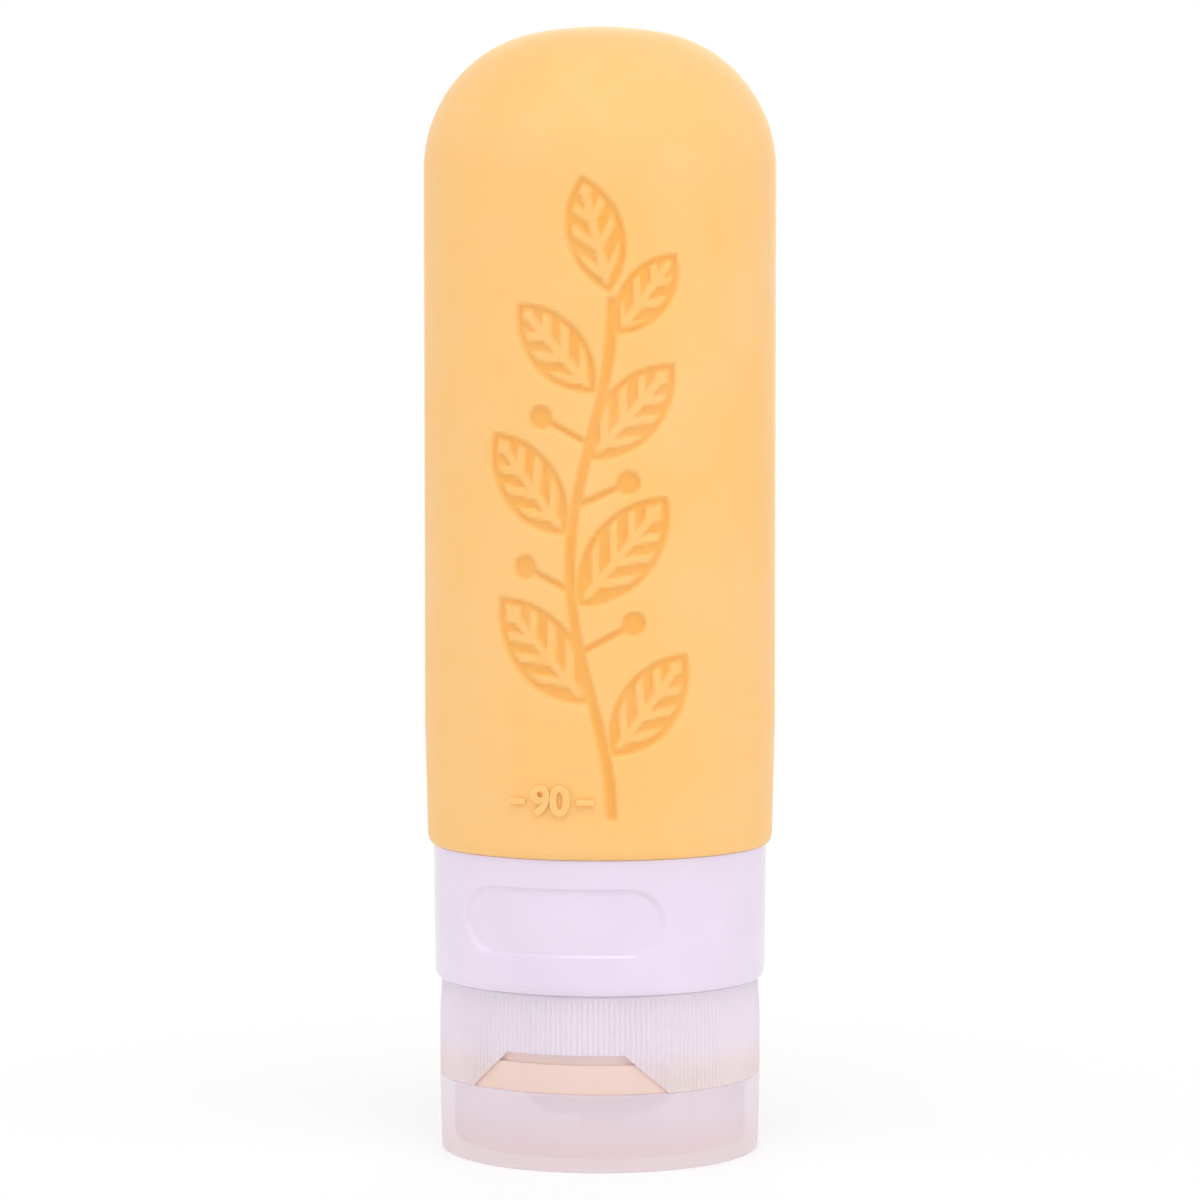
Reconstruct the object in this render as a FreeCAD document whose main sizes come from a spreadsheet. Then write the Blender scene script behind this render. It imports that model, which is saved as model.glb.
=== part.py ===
import FreeCAD
import Part
import Sketcher
import math
import os

# Driving sizes in millimetres; radii unless the name says otherwise.
SIZES = [
    ("lid_height", 8.85, "flat outer face to the parting line"),
    ("parting_gap", 0.2, "slot between lid and screw cap"),
    ("cap_height", 11.4, "screw cap, parting line to collar"),
    ("collar_gap", 0.25, "slot above and below the turning collar"),
    ("collar_height", 15.0, "turning collar"),
    ("body_height", 95.0, "silicone above the collar, to the top of the dome"),
    ("neck_bore", 13.2, "pouring bore of the rigid neck"),
    ("neck_wall", 1.8, "rigid neck tube"),
    ("flange_thickness", 1.2, "both flanges of the neck"),
    ("flange_inset", 0.3, "lower flange above the collar's lower edge"),
    ("clamp_overlap", 0.3, "clamp flange beyond the silicone sleeve"),
    ("sleeve_fit", 0.05, "silicone sleeve on the neck"),
    ("sleeve_wall", 1.8, "silicone sleeve"),
    ("sleeve_gap", 1.2, "silicone sleeve above the clamp ring's seat"),
    ("clamp_fit", 0.1, "clamp ring round the sleeve"),
    ("clamp_wall", 1.5, "clamp ring"),
    ("bead_height", 0.3, "snap bead standing out of the clamp ring"),
    ("bead_width", 1.2, "snap bead along the axis"),
    ("bead_drop", 2.2, "middle of the bead below the top of the collar"),
    ("running_gap", 0.2, "collar turning round the clamp ring"),
    ("collar_wall", 0.5, "turning collar behind its panel"),
    ("collar_draft", 0.15, "collar narrower at its lower edge"),
    ("panel_depth", 0.2, "recessed panel below the collar's lower rim"),
    ("panel_length", 23.4, "full length across the collar's front"),
    ("panel_height", 7.6, "full height, ends are half circles"),
    ("panel_rise", 8.0, "middle of the panel above the collar's lower edge"),
    ("body_overhang", 1.0, "silicone beyond the collar"),
    ("body_wall", 1.9, "silicone wall"),
    ("foot_taper", 0.3, "body narrower at its foot"),
    ("taper_height", 14.0, "height of that taper"),
    ("foot_round", 1.2, "outer edge of the foot"),
    ("floor_thickness", 2.2, "silicone floor round the neck"),
    ("crown_radius", 40.0, "shallow arc of the dome"),
    ("shoulder_radius", 16.0, "tight arc of the dome"),
    ("thread_pitch", 3.0, "right-hand cap thread"),
    ("thread_depth", 1.3, "thread ridge"),
    ("thread_root", 1.2, "ridge width at its root"),
    ("thread_crest", 0.6, "ridge width at its crest"),
    ("thread_gap", 0.5, "crest to the facing wall"),
    ("thread_start", 1.1, "middle of the first ridge above the mouth"),
    ("neck_turns", 1.5, "turns of ridge on the neck"),
    ("cap_turns", 1.25, "turns of ridge in the cap"),
    ("cap_wall", 0.9, "screw cap behind its grip"),
    ("cap_grip", 1.2, "grip layer of the cap, depth of the notch"),
    ("cap_draft", 0.3, "cap narrower at the collar"),
    ("cap_waist", 6.9, "height where that draft starts"),
    ("notch_top", 13.8, "thumb notch width at its upper edge"),
    ("notch_foot", 23.0, "thumb notch width at the parting line"),
    ("notch_height", 4.5, "thumb notch above the parting line"),
    ("deck_thickness", 1.4, "deck that closes the cap"),
    ("spout_base", 8.6, "spout at the deck"),
    ("spout_tip", 4.3, "spout at its tip"),
    ("spout_wall", 1.4, "spout"),
    ("orifice_radius", 2.6, "pouring hole"),
    ("orifice_land", 1.2, "straight length of the pouring hole"),
    ("seal_thickness", 2.4, "rim of the sealing disc"),
    ("seal_overlap", 0.6, "sealing disc beyond the neck's lip"),
    ("seal_rim", 3.6, "width of that rim"),
    ("web_thickness", 0.8, "web inside the rim"),
    ("slit_length", 7.0, "crossed valve slits"),
    ("slit_width", 0.25, "crossed valve slits"),
    ("seat_gap", 0.05, "faces that rest on each other"),
    ("edge_land", 0.15, "flat left inside each rounded rim"),
    ("lid_step", 0.2, "lid inside the cap's outer face"),
    ("lid_draft", 0.25, "lid narrower at the floor"),
    ("lid_grip", 1.0, "outer layer of the lid's wall"),
    ("lid_wall", 0.6, "inner layer of the lid's wall"),
    ("lid_floor", 1.4, "flat end of the lid"),
    ("spout_gap", 3.0, "spout tip above the lid's floor"),
    ("plug_gap", 0.3, "stopper pin's root inside the pouring hole"),
    ("plug_taper", 0.4, "stopper pin, root to tip"),
    ("plug_reach", 1.8, "stopper pin inside the pouring hole"),
    ("hinge_half", 9.3, "middle of the hinge to the end of a wing"),
    ("strip_half", 3.1, "middle of the hinge to the end of its strip"),
    ("strip_rise", 0.6, "strip above and below the parting line"),
    ("wing_rise", 3.1, "wing end above and below the parting line"),
    ("strap_thickness", 0.9, "strip and wings"),
    ("hinge_fit", 0.05, "slot round the strip and wings"),
    ("wing_slit", 0.5, "slot at the end of a wing"),
]

doc = FreeCAD.newDocument("travel_bottle")
size = doc.addObject("Spreadsheet::Sheet", "size")
for row, (alias, number, note) in enumerate(SIZES, start=1):
    size.set(f"A{row}", alias)
    size.set(f"B{row}", str(number))
    size.set(f"C{row}", note)
    size.setAlias(f"B{row}", alias)
doc.recompute()

# Radii that follow from the driving sizes, from the neck outwards.
neck = "(size.neck_bore + size.neck_wall)"
sleeve_bore = f"({neck} + size.sleeve_fit)"
sleeve = f"({sleeve_bore} + size.sleeve_wall)"
ring_bore = f"({sleeve} + size.clamp_fit)"
ring_out = f"({ring_bore} + size.clamp_wall)"
bead = f"({ring_out} + size.bead_height)"
collar_bore = f"({ring_out} + size.running_gap)"
panel_floor = f"({collar_bore} + size.collar_wall)"
collar_low = f"({panel_floor} + size.panel_depth)"
collar_out = f"({collar_low} + size.collar_draft)"
body_out = f"({collar_out} + size.body_overhang)"
body_in = f"({body_out} - size.body_wall)"
foot_out = f"({body_out} - size.foot_taper)"
cap_bore = f"({neck} + size.thread_depth + size.thread_gap)"
cap_core = f"({cap_bore} + size.cap_wall)"
cap_out = f"({cap_core} + size.cap_grip)"
lid_out = f"({cap_out} - size.lid_step)"
lid_core = f"({lid_out} - size.lid_grip)"
lid_in = f"({lid_core} - size.lid_wall)"

# Heights above the floor that follow from the driving sizes.
z_cap = "(size.lid_height + size.parting_gap)"
z_hinge = "(size.lid_height + size.parting_gap / 2)"
z_seal = f"({z_cap} + size.deck_thickness)"
z_mouth = f"({z_seal} + size.seal_thickness + size.seat_gap)"
z_collar = f"({z_cap} + size.cap_height + size.collar_gap)"
z_flange = f"({z_collar} + size.flange_inset)"
z_ring = f"({z_flange} + size.flange_thickness + size.seat_gap)"
z_collar_top = f"({z_collar} + size.collar_height)"
z_foot = f"({z_collar_top} + size.collar_gap)"
spout_height = "(size.lid_height + size.parting_gap - size.lid_floor - size.spout_gap)"


def value(expression):
    """Number that an expression over the size sheet gives now."""
    return float(size.evalExpression(expression))


def new_body(name, height):
    """Empty body at a height above the floor."""
    body = doc.addObject("PartDesign::Body", name)
    body.Label = name
    body.setExpression("Placement.Base.z", height)
    return body


def new_sketch(body, role, name):
    """Sketch on one of the body's own origin planes."""
    plane = next(f for f in body.Origin.OriginFeatures if f.Role == role)
    sketch = body.newObject("Sketcher::SketchObject", name)
    sketch.AttachmentSupport = [(plane, "")]
    sketch.MapMode = "FlatFace"
    return sketch


def bind(sketch, name, constraint, expression):
    """Adds a constraint whose number follows the size sheet."""
    number = sketch.addConstraint(constraint)
    sketch.renameConstraint(number, name)
    sketch.setExpression(f"Constraints.{name}", expression)


def draw(sketch, corners):
    """Closed outline. A corner is (across, up), and a third item (across, up, turn) is the centre of the
    arc that leads on from it, turning left for 1 and right for -1."""
    first = sketch.GeometryCount
    count = len(corners)
    spots = [FreeCAD.Vector(value(c[0]), value(c[1]), 0) for c in corners]
    starts = []
    for i, corner in enumerate(corners):
        here = spots[i]
        there = spots[(i + 1) % count]
        if len(corner) == 2:
            sketch.addGeometry(Part.LineSegment(here, there), False)
            starts.append((1, 2))
            continue
        across, up, turn = corner[2]
        centre = FreeCAD.Vector(value(across), value(up), 0)
        a = math.atan2(here.y - centre.y, here.x - centre.x)
        b = math.atan2(there.y - centre.y, there.x - centre.x)
        low, high = (a, b) if turn > 0 else (b, a)
        if high < low:
            high += 2 * math.pi
        circle = Part.Circle(centre, FreeCAD.Vector(0, 0, 1), (here - centre).Length)
        sketch.addGeometry(Part.ArcOfCircle(circle, low, high), False)
        starts.append((1, 2) if turn > 0 else (2, 1))
    for i in range(count):
        j = (i + 1) % count
        sketch.addConstraint(Sketcher.Constraint(
            "Coincident", first + i, starts[i][1], first + j, starts[j][0]))
    for i, corner in enumerate(corners):
        geo = first + i
        point = starts[i][0]
        bind(sketch, f"across{geo}",
             Sketcher.Constraint("DistanceX", -1, 1, geo, point, spots[i].x), corner[0])
        bind(sketch, f"up{geo}",
             Sketcher.Constraint("DistanceY", -1, 1, geo, point, spots[i].y), corner[1])
        if len(corner) == 2:
            continue
        chord = spots[(i + 1) % count] - spots[i]
        across, up, turn = corner[2]
        if abs(chord.y) >= abs(chord.x):
            bind(sketch, f"centre{geo}",
                 Sketcher.Constraint("DistanceX", -1, 1, geo, 3, value(across)), across)
        else:
            bind(sketch, f"centre{geo}",
                 Sketcher.Constraint("DistanceY", -1, 1, geo, 3, value(up)), up)


def turned(body, name, *outlines, kind="PartDesign::Revolution"):
    """Full turn of one or more outlines about the body's upright axis."""
    sketch = new_sketch(body, "XZ_Plane", f"{name}_outline")
    for corners in outlines:
        draw(sketch, corners)
    feature = body.newObject(kind, name)
    feature.Profile = sketch
    feature.ReferenceAxis = (sketch, ["V_Axis"])
    feature.Angle = 360
    doc.recompute()
    return feature


def straight(body, name, kind, reach, to_front, *outlines):
    """Outlines pushed through from the axis, to the front or to the back."""
    sketch = new_sketch(body, "XZ_Plane", f"{name}_outline")
    for corners in outlines:
        draw(sketch, corners)
    feature = body.newObject(kind, name)
    feature.Profile = sketch
    feature.setExpression("Length", reach)
    feature.Reversed = to_front == (kind == "PartDesign::Pocket")
    doc.recompute()
    return feature


def thread(body, name, turns, corners):
    """Right-hand ridge that climbs from the body's right-hand side."""
    sketch = new_sketch(body, "XZ_Plane", f"{name}_section")
    draw(sketch, corners)
    feature = body.newObject("PartDesign::AdditiveHelix", name)
    feature.Profile = sketch
    feature.ReferenceAxis = (sketch, ["V_Axis"])
    feature.Mode = "pitch-turns-angle"
    feature.Angle = 0
    feature.setExpression("Pitch", "size.thread_pitch")
    feature.setExpression("Turns", turns)
    doc.recompute()
    return feature


def rounded(body, name, radius, *rings):
    """Fillet on the round edges at the given (radius, height) pairs."""
    base = body.Tip
    wanted = [(value(r), value(z)) for r, z in rings]
    edges = []
    for number, edge in enumerate(base.Shape.Edges, start=1):
        if edge.Degenerated or not isinstance(edge.Curve, Part.Circle):
            continue
        curve = edge.Curve
        if any(abs(curve.Radius - r) < 1e-4 and abs(curve.Center.z - z) < 1e-4 for r, z in wanted):
            edges.append(f"Edge{number}")
    feature = body.newObject("PartDesign::Fillet", name)
    feature.Base = (base, edges)
    feature.setExpression("Radius", radius)
    doc.recompute()
    return feature


# Silicone body: dome, wall, floor round the neck and the sleeve that grips it.
bottle = new_body("bottle_body", z_foot)
top = "size.body_height"
rise = (f"sqrt((size.crown_radius - size.shoulder_radius) ^ 2"
        f" - ({body_out} - size.shoulder_radius) ^ 2)")
dome_start = f"({top} - size.crown_radius + {rise})"
crown_mid = f"({top} - size.crown_radius)"
shoulder_mid = f"({body_out} - size.shoulder_radius)"
lean_across = f"({shoulder_mid} / (size.crown_radius - size.shoulder_radius))"
lean_up = f"({rise} / (size.crown_radius - size.shoulder_radius))"
crown_in = "(size.crown_radius - size.body_wall)"
sleeve_low = f"({z_ring} + size.sleeve_gap - {z_foot})"
turned(bottle, "silicone", [
    (sleeve_bore, sleeve_low),
    (sleeve, sleeve_low),
    (sleeve, "0"),
    (foot_out, "0"),
    (body_out, "size.taper_height"),
    (body_out, dome_start, (shoulder_mid, dome_start, 1)),
    (f"size.crown_radius * {lean_across}", f"{crown_mid} + size.crown_radius * {lean_up}",
     ("0", crown_mid, 1)),
    ("0", top),
    ("0", f"{top} - size.body_wall", ("0", crown_mid, -1)),
    (f"{crown_in} * {lean_across}", f"{crown_mid} + {crown_in} * {lean_up}",
     (shoulder_mid, dome_start, -1)),
    (body_in, dome_start),
    (body_in, "size.taper_height"),
    (f"{foot_out} - size.body_wall", "size.floor_thickness"),
    (sleeve_bore, "size.floor_thickness"),
])
rounded(bottle, "foot_edge", "size.foot_round", (foot_out, "0"))

# Rigid neck: mouth, thread, collar flange and the flange that clamps the silicone floor.
insert = new_body("neck_insert", z_mouth)
flange_low = f"({z_flange} - {z_mouth})"
clamp_low = f"({z_foot} + size.floor_thickness + size.seat_gap - {z_mouth})"
clamp = f"({sleeve} + size.clamp_overlap)"
turned(insert, "tube", [
    ("size.neck_bore", "0"),
    (neck, "0"),
    (neck, flange_low),
    (ring_out, flange_low),
    (ring_out, f"{flange_low} + size.flange_thickness"),
    (neck, f"{flange_low} + size.flange_thickness"),
    (neck, clamp_low),
    (clamp, clamp_low),
    (clamp, f"{clamp_low} + size.flange_thickness"),
    ("size.neck_bore", f"{clamp_low} + size.flange_thickness"),
])
neck_crest = f"({neck} + size.thread_depth)"
neck_root = f"({neck} - size.neck_wall / 4)"
thread(insert, "neck_thread", "size.neck_turns", [
    (neck_root, "size.thread_start - size.thread_root / 2"),
    (neck_crest, "size.thread_start - size.thread_crest / 2"),
    (neck_crest, "size.thread_start + size.thread_crest / 2"),
    (neck_root, "size.thread_start + size.thread_root / 2"),
])

# Clamp ring: holds the sleeve on the neck and carries the snap bead for the collar.
ring = new_body("clamp_ring", z_ring)
bead_mid = f"({z_collar_top} - size.bead_drop - {z_ring})"
ring_top = f"({z_collar_top} - {z_ring})"
turned(ring, "ring", [
    (ring_bore, "0"),
    (ring_out, "0"),
    (ring_out, f"{bead_mid} - size.bead_width / 2"),
    (bead, f"{bead_mid} - size.bead_width / 4"),
    (bead, f"{bead_mid} + size.bead_width / 4"),
    (ring_out, f"{bead_mid} + size.bead_width / 2"),
    (ring_out, ring_top),
    (ring_bore, ring_top),
])

# Turning collar: outer skin with the recessed panel, then the wall with the groove for the bead.
collar = new_body("collar", z_collar)
turned(collar, "skin", [
    (panel_floor, "0"),
    (collar_low, "0"),
    (collar_out, "size.collar_height"),
    (panel_floor, "size.collar_height"),
])
end = "(size.panel_length / 2 - size.panel_height / 2)"
low = "(size.panel_rise - size.panel_height / 2)"
high = "(size.panel_rise + size.panel_height / 2)"
straight(collar, "panel", "PartDesign::Pocket", f"{collar_out} + 1", True, [
    (f"-{end}", low),
    (end, low, (end, "size.panel_rise", 1)),
    (end, high),
    (f"-{end}", high, (f"-{end}", "size.panel_rise", 1)),
])
groove = f"({bead} + size.running_gap)"
groove_mid = "(size.collar_height - size.bead_drop)"
groove_half = "(size.bead_width / 2 + size.running_gap)"
turned(collar, "wall", [
    (collar_bore, "0"),
    (panel_floor, "0"),
    (panel_floor, "size.collar_height"),
    (collar_bore, "size.collar_height"),
    (collar_bore, f"{groove_mid} + {groove_half}"),
    (groove, f"{groove_mid} + {groove_half}"),
    (groove, f"{groove_mid} - {groove_half}"),
    (collar_bore, f"{groove_mid} - {groove_half}"),
])
rounded(collar, "lower_edge", "size.collar_wall + size.panel_depth - size.edge_land", (collar_low, "0"))

# Outline of the bow-tie slot round a hinge whose middle is at a given height.
tie_end = "(size.hinge_half + size.wing_slit)"
tie_strip = "(size.strip_rise + size.hinge_fit)"
tie_wing = "(size.wing_rise + size.hinge_fit)"


def bow_tie(mid):
    """Slot for the strip and both wings of the hinge."""
    upper = [
        (tie_end, f"{mid} + {tie_wing}"),
        ("size.hinge_half", f"{mid} + {tie_wing}"),
        ("size.strip_half", f"{mid} + {tie_strip}"),
        ("-size.strip_half", f"{mid} + {tie_strip}"),
        ("-size.hinge_half", f"{mid} + {tie_wing}"),
        (f"-{tie_end}", f"{mid} + {tie_wing}"),
    ]
    lower = [
        (f"-{tie_end}", f"{mid} - {tie_wing}"),
        ("-size.hinge_half", f"{mid} - {tie_wing}"),
        ("-size.strip_half", f"{mid} - {tie_strip}"),
        ("size.strip_half", f"{mid} - {tie_strip}"),
        ("size.hinge_half", f"{mid} - {tie_wing}"),
        (tie_end, f"{mid} - {tie_wing}"),
    ]
    return upper + lower


# Screw cap: grip layer with notch and hinge slot, then the core with deck, spout and thread.
cap = new_body("cap_base", z_cap)
turned(cap, "grip", [
    (cap_core, "0"),
    (cap_out, "0"),
    (cap_out, "size.cap_waist"),
    (f"{cap_out} - size.cap_draft", "size.cap_height"),
    (cap_core, "size.cap_height"),
])
rounded(cap, "upper_edge", "size.cap_grip - size.cap_draft - size.edge_land",
        (f"{cap_out} - size.cap_draft", "size.cap_height"))
straight(cap, "thumb_notch", "PartDesign::Pocket", f"{cap_out} + 1", True, [
    ("-size.notch_foot / 2", "0"),
    ("size.notch_foot / 2", "0"),
    ("size.notch_top / 2", "size.notch_height"),
    ("-size.notch_top / 2", "size.notch_height"),
])
straight(cap, "hinge_slot", "PartDesign::Pocket", f"{cap_out} + 1", False,
         bow_tie("(-size.parting_gap / 2)"))
turned(cap, "core", [
    ("size.orifice_radius", f"-{spout_height}"),
    ("size.spout_tip", f"-{spout_height}"),
    ("size.spout_base", "0"),
    (cap_core, "0"),
    (cap_core, "size.cap_height"),
    (cap_bore, "size.cap_height"),
    (cap_bore, "size.deck_thickness"),
    ("size.spout_base - size.spout_wall", "size.deck_thickness"),
    ("size.orifice_radius", f"size.orifice_land - {spout_height}"),
])
cap_crest = f"({neck} + size.thread_gap)"
cap_root = f"({cap_bore} + size.cap_wall / 2)"
ridge = f"({z_mouth} - {z_cap} + size.thread_start + size.thread_pitch / 2)"
thread(cap, "cap_thread", "size.cap_turns", [
    (cap_crest, f"{ridge} - size.thread_crest / 2"),
    (cap_root, f"{ridge} - size.thread_root / 2"),
    (cap_root, f"{ridge} + size.thread_root / 2"),
    (cap_crest, f"{ridge} + size.thread_crest / 2"),
])

# Sealing disc with a thin web and crossed slits.
seal = new_body("seal_valve", z_seal)
seal_out = f"({neck} + size.seal_overlap)"
seal_in = f"({seal_out} - size.seal_rim)"
web_low = "((size.seal_thickness - size.web_thickness) / 2)"
web_high = "((size.seal_thickness + size.web_thickness) / 2)"
turned(seal, "disc", [
    ("0", web_low),
    (seal_in, web_low),
    (seal_in, "0"),
    (seal_out, "0"),
    (seal_out, "size.seal_thickness"),
    (seal_in, "size.seal_thickness"),
    (seal_in, web_high),
    ("0", web_high),
])
slits = new_sketch(seal, "XY_Plane", "slits_outline")
far = "(size.slit_length / 2)"
near = "(size.slit_width / 2)"
draw(slits, [
    (f"-{far}", f"-{near}"), (f"-{near}", f"-{near}"), (f"-{near}", f"-{far}"), (near, f"-{far}"),
    (near, f"-{near}"), (far, f"-{near}"), (far, near), (near, near),
    (near, far), (f"-{near}", far), (f"-{near}", near), (f"-{far}", near),
])
slit_cut = seal.newObject("PartDesign::Pocket", "slits")
slit_cut.Profile = slits
slit_cut.Reversed = True
slit_cut.setExpression("Length", "size.seal_thickness")
doc.recompute()

# Flip lid: outer layer with the hinge slot, then the core with the floor and the stopper pin.
lid = new_body("flip_lid", "0")
turned(lid, "skirt", [
    (lid_core, "0"),
    (f"{lid_out} - size.lid_draft", "0"),
    (lid_out, "size.lid_height"),
    (lid_core, "size.lid_height"),
])
rounded(lid, "floor_edge", "size.lid_grip - size.lid_draft - size.edge_land",
        (f"{lid_out} - size.lid_draft", "0"))
straight(lid, "hinge_slot", "PartDesign::Pocket", f"{cap_out} + 1", False, bow_tie(z_hinge))
plug_root = "(size.orifice_radius - size.plug_gap)"
plug_tip = f"({plug_root} - size.plug_taper)"
plug_top = "(size.lid_floor + size.spout_gap + size.plug_reach)"
turned(lid, "core", [
    ("0", "0"),
    (lid_core, "0"),
    (lid_core, "size.lid_height"),
    (lid_in, "size.lid_height"),
    (lid_in, "size.lid_floor"),
    (plug_root, "size.lid_floor"),
    (plug_tip, plug_top),
    ("0", plug_top),
])
rounded(lid, "inner_edge", "size.lid_wall", (lid_in, "size.lid_floor"))

# Bow-tie hinge: the strip and the two wings, curved with the cap's outer face.
strap_in = f"({cap_out} - size.strap_thickness)"
beyond = f"({cap_out} + 3)"
tall = "(size.wing_rise + 1)"


def strap(name, corners):
    """Flat outline pushed to the back and trimmed to the cap's curve."""
    body = new_body(name, z_hinge)
    straight(body, "band", "PartDesign::Pad", beyond, False, corners)
    turned(
        body, "curve",
        [("0", f"-{tall}"), (strap_in, f"-{tall}"), (strap_in, tall), ("0", tall)],
        [(cap_out, f"-{tall}"), (f"{beyond} + 9", f"-{tall}"), (f"{beyond} + 9", tall), (cap_out, tall)],
        kind="PartDesign::Groove",
    )
    return body


strip_end = "(size.strip_half - size.hinge_fit)"
strap("hinge_strip", [
    (f"-{strip_end}", "-size.strip_rise"),
    (strip_end, "-size.strip_rise"),
    (strip_end, "size.strip_rise"),
    (f"-{strip_end}", "size.strip_rise"),
])
strap("left_hinge_wing", [
    ("-size.hinge_half", "-size.wing_rise"),
    ("-size.strip_half", "-size.strip_rise"),
    ("-size.strip_half", "size.strip_rise"),
    ("-size.hinge_half", "size.wing_rise"),
])
strap("right_hinge_wing", [
    ("size.strip_half", "-size.strip_rise"),
    ("size.hinge_half", "-size.wing_rise"),
    ("size.hinge_half", "size.wing_rise"),
    ("size.strip_half", "size.strip_rise"),
])

doc.recompute()
os.makedirs("parts", exist_ok=True)
broken = [o.Label for o in doc.Objects if "Invalid" in o.State or "Error" in o.State]
if broken:
    raise RuntimeError(f"features that failed: {broken}")
for piece in doc.findObjects("PartDesign::Body"):
    if piece.Shape.isNull() or not piece.Shape.isValid() or len(piece.Shape.Solids) != 1:
        raise RuntimeError(f"{piece.Label} is not one valid solid")
    piece.Shape.exportStep(f"parts/{piece.Label}.step")
    box = piece.Shape.BoundBox
    print(f"{piece.Label}: {piece.Shape.Volume / 1000:.3f} ml, z {box.ZMin:.2f} to {box.ZMax:.2f}")
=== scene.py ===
"""Silicone travel bottle standing on its flip lid: the looks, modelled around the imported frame."""

from math import atan2, cos, hypot, pi, radians, sin, sqrt

import bmesh
import bpy
from bpy.props import FloatProperty, FloatVectorProperty, IntProperty, PointerProperty, StringProperty
from bpy.types import Operator, Panel, PropertyGroup
from mathutils import Matrix, Vector


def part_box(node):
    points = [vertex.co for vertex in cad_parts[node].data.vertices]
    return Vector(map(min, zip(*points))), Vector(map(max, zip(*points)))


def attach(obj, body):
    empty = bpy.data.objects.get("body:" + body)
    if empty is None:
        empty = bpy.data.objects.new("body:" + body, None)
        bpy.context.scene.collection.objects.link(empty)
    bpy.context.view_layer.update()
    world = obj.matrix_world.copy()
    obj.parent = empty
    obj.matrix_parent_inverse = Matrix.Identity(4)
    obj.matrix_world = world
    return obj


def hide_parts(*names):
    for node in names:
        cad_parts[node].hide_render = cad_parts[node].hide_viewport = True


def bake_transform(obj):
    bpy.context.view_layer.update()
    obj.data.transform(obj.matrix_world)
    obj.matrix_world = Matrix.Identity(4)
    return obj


bl_info = {
    "name": "Travel Bottle",
    "version": (1, 0, 0),
    "blender": (4, 5, 0),
    "location": "View3D > Sidebar > Bottle",
    "description": "Models a silicone travel bottle, its collar, screw cap and flip lid",
    "category": "Object",
}

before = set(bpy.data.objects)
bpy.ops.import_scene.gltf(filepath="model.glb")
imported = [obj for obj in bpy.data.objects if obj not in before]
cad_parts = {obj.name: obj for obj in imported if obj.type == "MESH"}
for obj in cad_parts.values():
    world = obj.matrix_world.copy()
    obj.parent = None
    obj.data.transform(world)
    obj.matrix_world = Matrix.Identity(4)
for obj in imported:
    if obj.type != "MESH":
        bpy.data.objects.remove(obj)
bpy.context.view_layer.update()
MM = 0.001
# Points closer than this are one.
WELD = 0.002 * MM

# Places read from the frame, in metres.
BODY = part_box("bottle_body")
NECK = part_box("neck_insert")
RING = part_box("clamp_ring")
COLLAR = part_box("collar")
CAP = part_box("cap_base")
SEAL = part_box("seal_valve")
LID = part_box("flip_lid")
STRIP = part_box("hinge_strip")
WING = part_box("right_hinge_wing")

# Silicone body: wall, sleeve, foot and dome.
BODY_WALL = 1.9 * MM
BODY_FLOOR = 2.2 * MM
SLEEVE_BORE = 15.05 * MM
SLEEVE_OUT = 16.85 * MM
FOOT_TAPER = 0.3 * MM
TAPER_HEIGHT = 14 * MM
FOOT_ROUND = 1.4 * MM
CROWN_RADIUS = 40 * MM
SHOULDER_RADIUS = 16 * MM

# Raised number, with a dash on each side. The share is a digit's height in the font's size.
MARK_LEVEL = 42.6 * MM
DIGIT_SHARE = 0.73
STROKE_SWELL = 0.09 * MM
MARK_ROOT = 0.7 * MM
MARK_EDGE = 0.08 * MM
DASH_LENGTH = 2 * MM
DASH_WIDTH = 0.65 * MM
DASH_GAP = 0.7 * MM
DASH_EDGE = 0.1 * MM

# Neck, its flanges and the clamp ring.
NECK_BORE = 13.2 * MM
NECK_OUT = 15 * MM
FLANGE = 1.2 * MM
FLANGE_INSET = 0.3 * MM
CLAMP_OUT = 17.15 * MM
RING_BORE = 16.95 * MM
RING_OUT = 18.45 * MM
BEAD_WIDTH = 1.2 * MM
BEAD_DROP = 2.2 * MM
EDGE_ROUND = 0.3 * MM

# Thread of the neck and of the cap. Each ridge sinks a little into its wall.
THREAD_PITCH = 3 * MM
THREAD_DEPTH = 1.3 * MM
THREAD_GAP = 0.5 * MM
THREAD_START = 1.1 * MM
THREAD_ROOT = 1.2 * MM
THREAD_CREST = 0.6 * MM
THREAD_SINK = 0.3 * MM
NECK_TURNS = 1.5
CAP_TURNS = 1.25

# Collar and its recessed panel.
COLLAR_GAP = 0.25 * MM
COLLAR_ROUND = 0.5 * MM
COLLAR_ROUND_RISE = 1.3 * MM
COLLAR_RIM = 0.1 * MM
COLLAR_SEAT = 0.22 * MM
COLLAR_DROP = 0.35 * MM
COLLAR_BORE = 18.65 * MM
COLLAR_DRAFT = 0.15 * MM
RUNNING_GAP = 0.2 * MM
PANEL_FLOOR = 19.15 * MM
PANEL_LENGTH = 23.4 * MM
PANEL_HEIGHT = 7.6 * MM
PANEL_RISE = 8.35 * MM
PANEL_EDGE = 0.35 * MM
PANEL_ARC = radians(84)
PANEL_TURN = radians(-2)

# Screw cap: wall, ribs, deck and spout.
CAP_BORE = 16.8 * MM
CAP_CORE = 17.7 * MM
CAP_DRAFT = 0.25 * MM
CAP_TRIM = 0.12 * MM
CAP_SEAT = 0.02 * MM
CAP_ROUND = 0.12 * MM
CAP_ROUND_RISE = 0.25 * MM
CAP_WAIST = 6.9 * MM
RIB_LAND = 0.15 * MM
RIB_FADE = 0.4 * MM
DECK = 1.4 * MM
SPOUT_BASE = 9.8 * MM
SPOUT_TIP = 5.5 * MM
SPOUT_WALL = 1.4 * MM
SPOUT_EDGE = 0.35 * MM
ORIFICE = 2.6 * MM
ORIFICE_LAND = 1.2 * MM

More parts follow.
